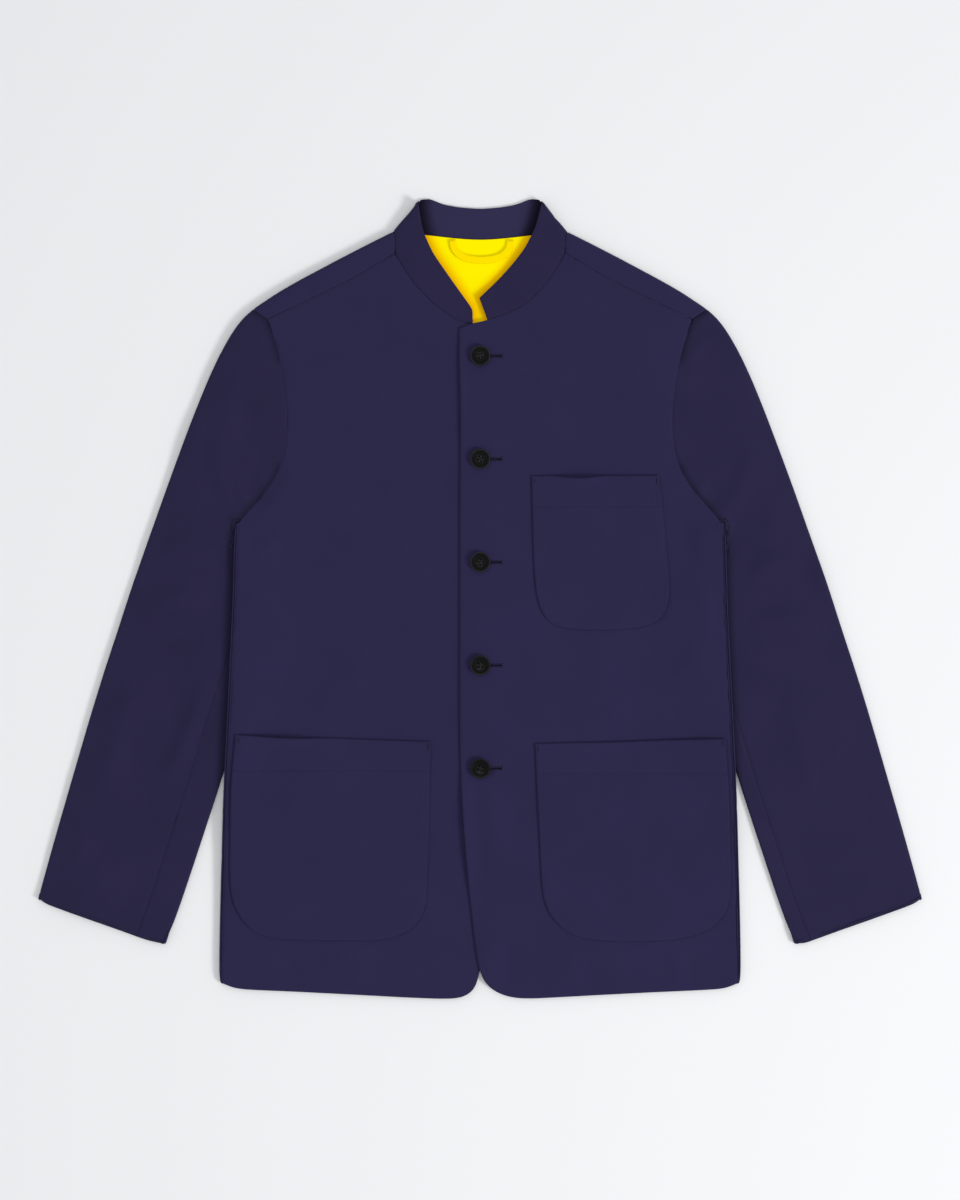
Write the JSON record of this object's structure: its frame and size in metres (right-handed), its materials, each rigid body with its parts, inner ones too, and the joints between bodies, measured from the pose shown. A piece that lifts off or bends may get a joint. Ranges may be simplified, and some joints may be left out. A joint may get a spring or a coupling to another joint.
{
  "type": "tailored jacket",
  "caption": "Tailored jacket with a stand collar, buttoned front, two-piece sleeves, chest pocket and lower patch pockets, laid flat on its back.",
  "frame": {"origin": "on the surface the jacket lies on, at the middle of its outline", "axes": "X across the jacket towards the wearer's left side, Y up to the collar, Z away from the surface"},
  "size_m": [0.8846, 0.7981, 0.0126],
  "materials": {
    "navy_cloth": "matt fine wool, navy, with a soft nap and a very fine twill",
    "navy_inside": "the same navy wool on the collar",
    "yellow_lining": "bright yellow lining, smooth plain weave with a slight sheen",
    "button_black": "black resin button, semi-gloss with a raised rim"
  },
  "bodies": {
    "root": {"back_panel": "navy_cloth", "front_right": "navy_cloth", "front_left": "navy_cloth", "sleeve_right_upper": "navy_cloth", "sleeve_right_under": "navy_cloth", "sleeve_left_upper": "navy_cloth", "sleeve_left_under": "navy_cloth", "pocket_chest": "navy_cloth", "pocket_right": "navy_cloth", "pocket_left": "navy_cloth", "collar_stand": "navy_inside", "lining_back": "yellow_lining", "hanger_loop": "yellow_lining", "button_1": "button_black", "button_2": "button_black", "button_3": "button_black", "button_4": "button_black", "button_5": "button_black"}
  },
  "joints": []
}
